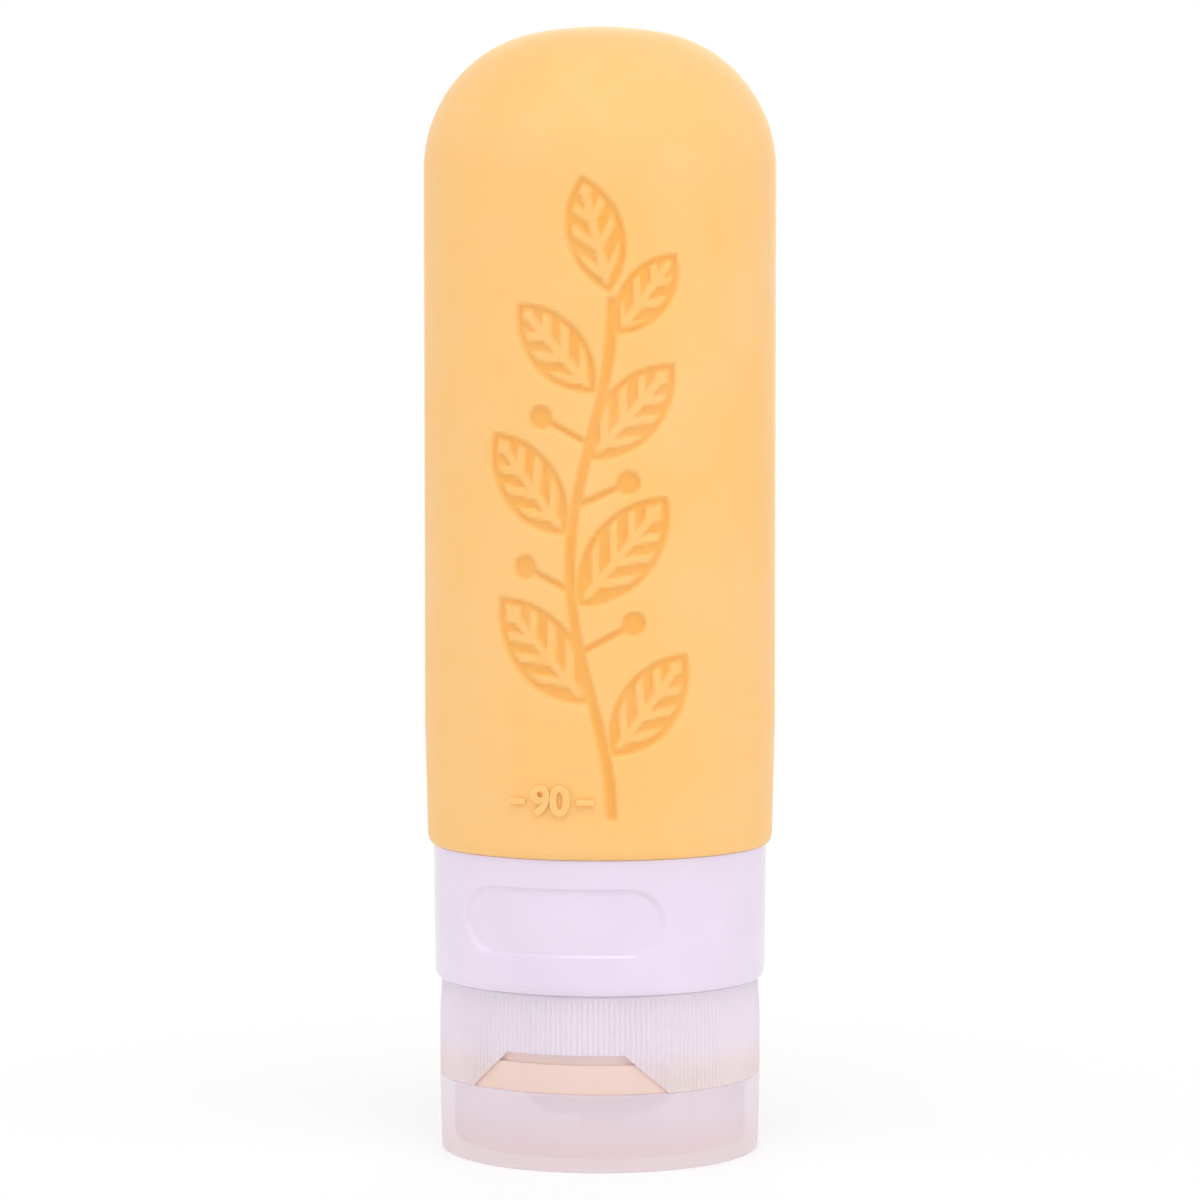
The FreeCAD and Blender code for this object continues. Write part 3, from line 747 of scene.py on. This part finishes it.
class BOTTLE_OT_level_mark(Operator):
    """Raise the capacity number out of the silicone"""

    bl_idname = "bottle.level_mark"
    bl_label = "Level Mark"

    text: StringProperty(name="Number", description="Capacity in millilitres", default="90")

    def execute(self, context):
        sizes = context.scene.bottle_sizes
        letters = bpy.data.curves.new("level_mark", "FONT")
        letters.body = self.text
        letters.align_x = "CENTER"
        letters.align_y = "CENTER"
        letters.size = sizes.mark_height / DIGIT_SHARE
        letters.offset = STROKE_SWELL
        letters.extrude = MARK_ROOT
        letters.bevel_depth = MARK_EDGE
        letters.bevel_resolution = 2
        shape = bpy.data.objects.new("letters", letters)
        context.scene.collection.objects.link(shape)
        context.view_layer.update()
        mesh = bpy.data.meshes.new_from_object(shape.evaluated_get(context.evaluated_depsgraph_get()))
        bpy.data.objects.remove(shape)

        bm = bmesh.new()
        bm.from_mesh(mesh)
        bpy.data.meshes.remove(mesh)
        bmesh.ops.remove_doubles(bm, verts=bm.verts, dist=WELD)
        half = max(v.co.x for v in bm.verts)
        top = max(v.co.z for v in bm.verts)
        dash = (DASH_LENGTH, DASH_WIDTH, 2 * top)
        for side in (-1, 1):
            made = bmesh.ops.create_cube(bm, size=1)
            bmesh.ops.scale(bm, verts=made["verts"], vec=dash)
            middle = side * (half + DASH_GAP + DASH_LENGTH / 2)
            bmesh.ops.translate(bm, verts=made["verts"], vec=(middle, 0, 0))
            edges = {e for v in made["verts"] for e in v.link_edges}
            bmesh.ops.bevel(bm, geom=list(edges), offset=DASH_EDGE, offset_type="OFFSET", segments=2,
                            profile=0.5, affect="EDGES", clamp_overlap=True, material=-1)
        wall = BODY_RADIUS - FOOT_TAPER * (FOOT_HEIGHT + TAPER_HEIGHT - MARK_LEVEL) / TAPER_HEIGHT
        middle = sizes.mark_azimuth - pi / 2
        for vert in bm.verts:
            turn = middle + vert.co.x / wall
            radius = wall + sizes.mark_relief - top + vert.co.z
            vert.co = (radius * cos(turn), radius * sin(turn), MARK_LEVEL + vert.co.y)
        piece = to_object(bm, "level_mark")
        material = bpy.data.materials["moulded_silicone"]
        dress(piece, material, "silicone", "bottle")
        return {"FINISHED"}


class BOTTLE_OT_threaded_neck(Operator):
    """Model the rigid neck with its flanges and thread"""

    bl_idname = "bottle.threaded_neck"
    bl_label = "Threaded Neck"

    def execute(self, context):
        mouth, top = NECK[0].z, NECK[1].z
        flange = COLLAR[0].z + FLANGE_INSET
        bm = lathe([
            (NECK_BORE, mouth), (NECK_OUT, mouth), (NECK_OUT, flange), (RING_OUT, flange),
            (RING_OUT, flange + FLANGE), (NECK_OUT, flange + FLANGE), (NECK_OUT, top - FLANGE),
            (CLAMP_OUT, top - FLANGE), (CLAMP_OUT, top), (NECK_BORE, top),
        ], SMOOTH_STEPS, True)
        round_rings(bm, EDGE_ROUND, ROUND_SEGMENTS, (NECK_BORE, mouth), (NECK_OUT, mouth),
                    (NECK_BORE, top), (CLAMP_OUT, top), (RING_OUT, flange))
        start = mouth + THREAD_START
        root, crest = NECK_OUT - THREAD_SINK, NECK_OUT + THREAD_DEPTH
        helix(bm, [
            (root, start - THREAD_ROOT / 2), (crest, start - THREAD_CREST / 2),
            (crest, start + THREAD_CREST / 2), (root, start + THREAD_ROOT / 2),
        ], NECK_TURNS, NECK_THREAD_STEPS)
        piece = to_object(bm, "threaded_neck")
        colours = context.scene.bottle_colours
        material = moulded_plastic("natural_polypropylene", colours.neck, shine=0.34, wave=0.02 * MM)
        dress(piece, material, "neck_plastic", "bottle", "neck_insert")
        return {"FINISHED"}


class BOTTLE_OT_clamp_band(Operator):
    """Model the ring that clamps the silicone sleeve and carries the collar"""

    bl_idname = "bottle.clamp_band"
    bl_label = "Clamp Band"

    def execute(self, context):
        low, high, crest = RING[0].z, RING[1].z, RING[1].x
        bead = high - BEAD_DROP
        bm = lathe([
            (RING_BORE, low), (RING_OUT, low),
            (RING_OUT, bead - BEAD_WIDTH / 2), (crest, bead - BEAD_WIDTH / 4),
            (crest, bead + BEAD_WIDTH / 4), (RING_OUT, bead + BEAD_WIDTH / 2),
            (RING_OUT, high), (RING_BORE, high),
        ], SMOOTH_STEPS, True)
        piece = to_object(bm, "clamp_band")
        colours = context.scene.bottle_colours
        material = moulded_plastic("satin_polypropylene", colours.ring, shine=0.42, wave=0.02 * MM)
        dress(piece, material, "ring_plastic", "bottle", "clamp_ring")
        return {"FINISHED"}


class BOTTLE_OT_collar_band(Operator):
    """Model the turning collar with its recessed panel"""

    bl_idname = "bottle.collar_band"
    bl_label = "Collar Band"

    def execute(self, context):
        low, high, outer = COLLAR[0].z - COLLAR_DROP, COLLAR[1].z + COLLAR_SEAT, COLLAR[1].x
        groove = RING[1].x + RUNNING_GAP
        groove_low = RING[1].z - BEAD_DROP - BEAD_WIDTH / 2 - RUNNING_GAP
        groove_high = RING[1].z - BEAD_DROP + BEAD_WIDTH / 2 + RUNNING_GAP
        inset = outer - COLLAR_DRAFT - COLLAR_ROUND
        top_mid = (outer - COLLAR_RIM, high - COLLAR_RIM)

        bm = bmesh.new()
        start = vert = bm.verts.new((COLLAR_BORE, 0, low))
        vert = line_to(bm, vert, inset, low)
        vert = round_out(bm, vert, COLLAR_ROUND, COLLAR_ROUND_RISE, COLLAR_ROUND_STEPS)
        vert = line_to(bm, vert, outer, top_mid[1], COLLAR_ROWS)
        vert = arc_to(bm, vert, top_mid, -pi / 2, COLLAR_RIM_STEPS)
        for radius, height in [
                (COLLAR_BORE, high), (COLLAR_BORE, groove_high), (groove, groove_high),
                (groove, groove_low), (COLLAR_BORE, groove_low), (COLLAR_BORE, low)]:
            vert = line_to(bm, vert, radius, height)
        bmesh.ops.pointmerge(bm, verts=[start, vert], merge_co=start.co)
        front, rest = (PANEL_ARC, PANEL_STEPS), (2 * pi - PANEL_ARC, COLLAR_STEPS)
        spin_sectors(bm, PANEL_TURN - pi / 2 - PANEL_ARC / 2, [front, rest])

        middle = low + PANEL_RISE
        half = PANEL_HEIGHT / 2
        straight_end = PANEL_LENGTH / 2 - half
        for vert in bm.verts:
            radius = hypot(vert.co.x, vert.co.y)
            turn = atan2(vert.co.x, -vert.co.y) - PANEL_TURN
            if abs(turn) > PANEL_ARC / 2 or radius < PANEL_FLOOR:
                continue
            rim = hypot(max(radius * abs(sin(turn)) - straight_end, 0), vert.co.z - middle) - half
            sunk = 1 - smooth(-PANEL_EDGE / 2, PANEL_EDGE / 2, rim)
            vert.co.xy = vert.co.xy * (1 + sunk * (PANEL_FLOOR / radius - 1))
        piece = to_object(bm, "collar_band")
        colours = context.scene.bottle_colours
        material = moulded_plastic("gloss_polypropylene", colours.collar, shine=0.16, wave=0.03 * MM)
        dress(piece, material, "collar_plastic", "label_collar", "collar")
        return {"FINISHED"}


def bow_tie(half_length, strip_rise, wing_rise):
    """Place function of the bow-tie outline: a narrow strip that flares into two wings."""
    def place(u, v):
        across = u * half_length
        flare = min(max((abs(across) - STRIP_HALF) / (HINGE_HALF - STRIP_HALF), 0), 1)
        return across, HINGE_HEIGHT + v * (strip_rise + flare * (wing_rise - strip_rise))
    return place


def notch(low, high, inset):
    """Place function of the thumb notch between two heights above the parting line."""
    def place(u, v):
        rise = low + (v + 1) / 2 * (high - low)
        share = max(rise, 0) / NOTCH_HEIGHT
        return u * ((NOTCH_FOOT + share * (NOTCH_TOP - NOTCH_FOOT)) / 2 - inset), CAP_FOOT + rise
    return place


HINGE_SLOT = bow_tie(HINGE_HALF + WING_SLIT, STRIP_RISE + HINGE_FIT, WING_RISE + HINGE_FIT)


class BOTTLE_OT_cap_shell(Operator):
    """Model the ribbed screw cap with its notch, deck and spout"""

    bl_idname = "bottle.cap_shell"
    bl_label = "Cap Shell"

    def execute(self, context):
        sizes = context.scene.bottle_sizes
        colours = context.scene.bottle_colours
        tip = CAP[0].z
        rib_low = CAP_FOOT + RIB_LAND
        rib_high = CAP_FOOT + sizes.rib_height
        waist = CAP_FOOT + CAP_WAIST
        slope = CAP_DRAFT / (CAP_TOP - waist)
        fade_end = rib_high + RIB_FADE
        quarter = [step * pi / 2 / QUARTER_STEPS for step in range(QUARTER_STEPS + 1)]
        bm = lathe([
            (ORIFICE, tip),
            *((SPOUT_TIP + (SPOUT_BASE - SPOUT_TIP) * sin(turn), CAP_FOOT - (CAP_FOOT - tip) * cos(turn))
              for turn in quarter),
            (CAP_RADIUS, CAP_FOOT),
            (CAP_RADIUS, rib_low), (CAP_RADIUS, waist),
            (CAP_RADIUS - slope * (rib_high - waist), rib_high),
            (CAP_RADIUS - slope * (fade_end - waist), fade_end),
            *((CAP_RADIUS - CAP_DRAFT - CAP_ROUND * (1 - cos(turn)),
               CAP_TOP - CAP_ROUND_RISE * (1 - sin(turn))) for turn in quarter),
            (CAP_BORE, CAP_TOP), (CAP_BORE, SEAL[1].z), (CAP_BORE, CAP_FOOT + DECK),
            *((ORIFICE + (SPOUT_BASE - SPOUT_WALL - ORIFICE) * cos(turn),
               CAP_FOOT + DECK - (CAP_FOOT + DECK - tip - ORIFICE_LAND) * sin(turn)) for turn in quarter),
        ], sizes.rib_count * RIB_STEPS, True)
        for vert in bm.verts:
            if hypot(vert.co.x, vert.co.y) < CAP_CORE or not rib_low - WELD < vert.co.z < rib_high + WELD:
                continue
            phase = atan2(vert.co.y, vert.co.x) * sizes.rib_count
            dent = sizes.rib_depth * (1 - cos(phase)) / 2
            vert.co.xy = vert.co.xy * (1 - dent / CAP_RADIUS)
        round_rings(bm, SPOUT_EDGE, ROUND_SEGMENTS, (SPOUT_TIP, tip))

        whole = notch(-NOTCH_BELOW, NOTCH_HEIGHT, 0)
        above_ledge = notch(NOTCH_LEDGE, NOTCH_HEIGHT - RECESS_INSET, RECESS_INSET)
        piece = to_object(bm, "cap_shell")
        cut(piece, curved_slab(NOTCH_GRID, whole, NOTCH_FACE, CUT_REACH, False),
            curved_slab(RECESS_GRID, above_ledge, NOTCH_RECESS, CUT_REACH, False),
            curved_slab(SLOT_GRID, HINGE_SLOT, CAP_CORE, CUT_REACH, True))
        bm = bmesh.new()
        bm.from_mesh(piece.data)
        start = NECK[0].z + THREAD_START + THREAD_PITCH / 2
        root, crest = CAP_BORE + THREAD_SINK, NECK_OUT + THREAD_GAP
        helix(bm, [
            (crest, start - THREAD_CREST / 2), (root, start - THREAD_ROOT / 2),
            (root, start + THREAD_ROOT / 2), (crest, start + THREAD_CREST / 2),
        ], CAP_TURNS, CAP_THREAD_STEPS)
        bm.to_mesh(piece.data)
        bm.free()
        # The foot of the cap wall turns to a painted warm glow of the seal behind it.
        wall = frosted_plastic("frosted_polypropylene", colours.frosted, milk=0.92, glow=0.22,
                               core=colours.frosted_seal_glow, far=47 * MM, near=36 * MM)
        # The deck and spout take a painted warm glow of the seal.
        deck = frosted_plastic("seal_glow_frosted_polypropylene", colours.deck, milk=0.9, glow=0.2)
        # Painted light: the notch and the bore beside the seal take the seal's warm glow as colour.
        thin_glow = frosted_plastic("thin_glow_polypropylene", colours.thin_glow, milk=0.92, glow=0.1,
                               core=colours.thin_seal_glow, far=43 * MM, near=41 * MM)
        dress(piece, wall, "clear_plastic", "screw_cap", "cap_base")
        piece.data.materials.append(deck)
        piece.data.materials.append(thin_glow)
        for face in piece.data.polygons:
            x, y, z = face.center
            radius = hypot(x, y)
            in_notch = y < 0 and z < CAP_FOOT + NOTCH_HEIGHT and any(
                abs(radius - depth) < NOTCH_SLACK for depth in (NOTCH_FACE, NOTCH_RECESS))
            # Deck and spout faces get the painted glow.
            if radius < CAP_BORE - FACE_SLACK and z < CAP_FOOT + DECK + FACE_SLACK:
                face.material_index = 1
            # Notch faces and the bore beside the seal get the painted glow.
            elif in_notch or radius < CAP_BORE + FACE_SLACK and z < SEAL[1].z:
                face.material_index = 2
        return {"FINISHED"}


class BOTTLE_OT_seal_disc(Operator):
    """Model the orange sealing disc with its crossed slits"""

    bl_idname = "bottle.seal_disc"
    bl_label = "Seal Disc"

    def execute(self, context):
        colours = context.scene.bottle_colours
        low, high, outer = SEAL[0].z, SEAL[1].z, CAP_BORE - SEAL_FIT
        middle = (low + high) / 2
        rim = outer - SEAL_RIM
        shelf, step = low + SEAL_SHELF, outer - SEAL_STEP
        bm = lathe([
            (0, middle - SEAL_WEB / 2), (rim, middle - SEAL_WEB / 2), (rim, low), (outer, low),
            (outer, shelf), (step, shelf), (step, high), (rim, high),
            (rim, middle + SEAL_WEB / 2), (0, middle + SEAL_WEB / 2),
        ], SMOOTH_STEPS, False)
        round_rings(bm, EDGE_ROUND, ROUND_SEGMENTS, (outer, low), (outer, shelf), (step, high), (rim, high))
        piece = to_object(bm, "seal_disc")
        slits = []
        for turn in (0, pi / 2):
            slit = bmesh.new()
            bmesh.ops.create_cube(slit, size=1)
            bmesh.ops.scale(slit, verts=slit.verts, vec=(SLIT_LENGTH, SLIT_WIDTH, 2 * (high - low)))
            bmesh.ops.rotate(slit, verts=slit.verts, matrix=Matrix.Rotation(turn, 3, "Z"))
            bmesh.ops.translate(slit, verts=slit.verts, vec=(0, 0, middle))
            slits.append(slit)
        cut(piece, *slits)
        material = silicone_rubber("seal_silicone", colours.seal, colours.seal)
        dress(piece, material, "seal_silicone", "cap_seal", "seal_valve")
        return {"FINISHED"}


class BOTTLE_OT_lid_cup(Operator):
    """Model the flip lid with its stopper pin"""

    bl_idname = "bottle.lid_cup"
    bl_label = "Lid Cup"

    def execute(self, context):
        rim = CAP_FOOT - LID_SEAT
        bm = lathe([
            (0, 0), (LID_RADIUS - LID_DRAFT, 0), (LID_RADIUS, rim), (LID_BORE, rim), (LID_BORE, LID_FLOOR),
            (PLUG_ROOT, LID_FLOOR), (PLUG_TIP, PLUG_TOP), (0, PLUG_TOP),
        ], SMOOTH_STEPS, False)
        round_rings(bm, LID_FOOT_ROUND, LID_FOOT_SEGMENTS, (LID_RADIUS - LID_DRAFT, 0),
                    (LID_BORE, LID_FLOOR))
        round_rings(bm, LID_RIM_ROUND, ROUND_SEGMENTS, (LID_RADIUS, rim), (PLUG_TIP, PLUG_TOP))
        piece = to_object(bm, "lid_cup")
        cut(piece, curved_slab(SLOT_GRID, HINGE_SLOT, LID_CORE, CUT_REACH, True))
        colours = context.scene.bottle_colours
        material = frosted_plastic("frosted_lid_polypropylene", colours.lid, milk=0.48, glow=0.22,
                                   core=colours.lid_core, far=28 * MM, near=5 * MM)
        dress(piece, material, "clear_plastic", "lid", "flip_lid")
        return {"FINISHED"}


class BOTTLE_OT_bow_hinge(Operator):
    """Model the bow-tie hinge between the cap and the lid"""

    bl_idname = "bottle.bow_hinge"
    bl_label = "Bow Hinge"

    def execute(self, context):
        place = bow_tie(HINGE_HALF, STRIP_RISE, WING_RISE)
        bm = curved_slab(HINGE_GRID, place, CAP_RADIUS - STRAP, STRAP, True)
        for vert in bm.verts:
            radius = hypot(vert.co.x, vert.co.y)
            if radius > CAP_RADIUS - STRAP / 2:
                vert.co.xy = vert.co.xy * (CAP_RADIUS / radius)
        outside = [f for f in bm.faces
                   if all(hypot(v.co.x, v.co.y) > CAP_RADIUS - SKIN_SLACK for v in f.verts)
                   and abs(f.calc_center_median().x) > STRIP_HALF + WING_START]
        bmesh.ops.inset_region(bm, faces=outside, thickness=WING_RIM, depth=-PANEL_SINK,
                               use_even_offset=True)
        piece = to_object(bm, "bow_hinge")
        colours = context.scene.bottle_colours
        material = frosted_plastic("hinge_polypropylene", colours.hinge, milk=0.92, glow=0.22)
        dress(piece, material, "clear_plastic", None, "hinge_strip", "left_hinge_wing", "right_hinge_wing")
        piece.data.materials.append(bpy.data.materials["frosted_lid_polypropylene"])
        for face in piece.data.polygons:
            x, y = face.center.xy
            if abs(x) > STRIP_HALF and abs(hypot(x, y) - CAP_RADIUS + PANEL_SINK) < FACE_SLACK:
                face.material_index = 1
        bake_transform(piece)
        return {"FINISHED"}


class BOTTLE_OT_stage(Operator):
    """Set up the pale floor, the soft light and the camera"""

    bl_idname = "bottle.stage"
    bl_label = "Stage"

    def execute(self, context):
        scene = context.scene
        scene.view_settings.view_transform = "Standard"
        self.floor(scene)
        self.sky(scene)
        for softbox in LAMPS:
            self.lamp(scene, *softbox)
        self.camera(scene)
        return {"FINISHED"}

    def floor(self, scene):
        """Round white floor that fades into the background and keeps the shadow."""
        bm = bmesh.new()
        bmesh.ops.create_circle(bm, cap_ends=True, segments=64, radius=FLOOR_RADIUS)
        floor = to_object(bm, "floor")
        material, tree, out = new_material("white_paper")
        white = rgba(scene.bottle_colours.floor)
        place = add(tree, "ShaderNodeTexCoord").outputs["Object"]
        away = add(tree, "ShaderNodeVectorMath", {"operation": "LENGTH"}, _0=place).outputs["Value"]
        far = add(tree, "ShaderNodeMapRange", {"interpolation_type": "SMOOTHSTEP"}, Value=away,
                  From_Min=SHADOW_NEAR, From_Max=SHADOW_FAR, To_Min=SHADOW_WHITE).outputs["Result"]
        rays = add(tree, "ShaderNodeLightPath").outputs
        seen = add(tree, "ShaderNodeMath", {"operation": "MAXIMUM"}, _0=rays["Is Camera Ray"],
                   _1=rays["Is Transmission Ray"]).outputs["Value"]
        glow = add(tree, "ShaderNodeMath", {"operation": "MULTIPLY"}, _0=far, _1=seen).outputs["Value"]
        paper = add(tree, "ShaderNodeBsdfDiffuse", Color=white)
        light = add(tree, "ShaderNodeEmission", Color=white, Strength=1.0)
        mixed = add(tree, "ShaderNodeMixShader", _0=glow, _1=paper.outputs["BSDF"],
                    _2=light.outputs["Emission"])
        tree.links.new(mixed.outputs["Shader"], out.inputs["Surface"])
        floor.data.materials.append(material)

    def sky(self, scene):
        """White surroundings, full white to the eye and softer as a light."""
        world = bpy.data.worlds.new("white_room")
        scene.world = world
        world.use_nodes = True
        tree = world.node_tree
        tree.nodes.clear()
        rays = add(tree, "ShaderNodeLightPath").outputs
        seen = add(tree, "ShaderNodeMath", {"operation": "MAXIMUM"}, _0=rays["Is Camera Ray"],
                   _1=rays["Is Glossy Ray"])
        seen = add(tree, "ShaderNodeMath", {"operation": "MAXIMUM"}, _0=seen.outputs["Value"],
                   _1=rays["Is Transmission Ray"])
        strength = add(tree, "ShaderNodeMapRange", Value=seen.outputs["Value"], To_Min=ROOM_LIGHT)
        glow = add(tree, "ShaderNodeBackground", Color=rgba(scene.bottle_colours.floor),
                   Strength=strength.outputs["Result"])
        out = add(tree, "ShaderNodeOutputWorld")
        tree.links.new(glow.outputs["Background"], out.inputs["Surface"])

    def lamp(self, scene, name, spot, side, power):
        """Square softbox that faces the middle of the bottle."""
        light = bpy.data.lights.new(name, "AREA")
        light.shape = "SQUARE"
        light.size = side
        light.energy = power
        lamp = bpy.data.objects.new(name, light)
        lamp.location = spot
        aim = Vector((0, 0, BODY_TOP / 2)) - lamp.location
        lamp.rotation_euler = aim.to_track_quat("-Z", "Y").to_euler()
        scene.collection.objects.link(lamp)

    def camera(self, scene):
        """Camera at the photograph's viewing angle."""
        data = bpy.data.cameras.new("camera")
        data.sensor_width = SENSOR_WIDTH
        data.lens = CAMERA_LENS
        camera = bpy.data.objects.new("camera", data)
        camera.location = (CAMERA_DISTANCE * sin(CAMERA_AZIMUTH), -CAMERA_DISTANCE * cos(CAMERA_AZIMUTH),
                           CAMERA_HEIGHT)
        aim = Vector((0, 0, CAMERA_AIM)) - camera.location
        camera.rotation_euler = aim.to_track_quat("-Z", "Y").to_euler()
        scene.collection.objects.link(camera)
        scene.camera = camera


OPERATORS = (
    BOTTLE_OT_silicone_body,
    BOTTLE_OT_level_mark,
    BOTTLE_OT_threaded_neck,
    BOTTLE_OT_clamp_band,
    BOTTLE_OT_collar_band,
    BOTTLE_OT_cap_shell,
    BOTTLE_OT_seal_disc,
    BOTTLE_OT_lid_cup,
    BOTTLE_OT_bow_hinge,
    BOTTLE_OT_stage,
)


class BOTTLE_PT_sidebar(Panel):
    """Lists the bottle's pieces in the order they are made"""

    bl_idname = "BOTTLE_PT_sidebar"
    bl_label = "Travel Bottle"
    bl_space_type = "VIEW_3D"
    bl_region_type = "UI"
    bl_category = "Bottle"

    def draw(self, context):
        layout = self.layout
        for group in (context.scene.bottle_sizes, context.scene.bottle_colours):
            for name in group.__annotations__:
                layout.prop(group, name)
        for operator in OPERATORS:
            layout.operator(operator.bl_idname)


CLASSES = (BottleSizes, BottleColours, *OPERATORS, BOTTLE_PT_sidebar)


def register():
    for each in CLASSES:
        bpy.utils.register_class(each)
    bpy.types.Scene.bottle_sizes = PointerProperty(type=BottleSizes)
    bpy.types.Scene.bottle_colours = PointerProperty(type=BottleColours)


def unregister():
    del bpy.types.Scene.bottle_colours
    del bpy.types.Scene.bottle_sizes
    for each in reversed(CLASSES):
        bpy.utils.unregister_class(each)


def main():
    register()
    bpy.ops.bottle.silicone_body()
    bpy.ops.bottle.level_mark()
    bpy.ops.bottle.threaded_neck()
    bpy.ops.bottle.clamp_band()
    bpy.ops.bottle.collar_band()
    bpy.ops.bottle.cap_shell()
    bpy.ops.bottle.seal_disc()
    bpy.ops.bottle.lid_cup()
    bpy.ops.bottle.bow_hinge()
    bpy.ops.bottle.stage()


if __name__ == "__main__":
    main()
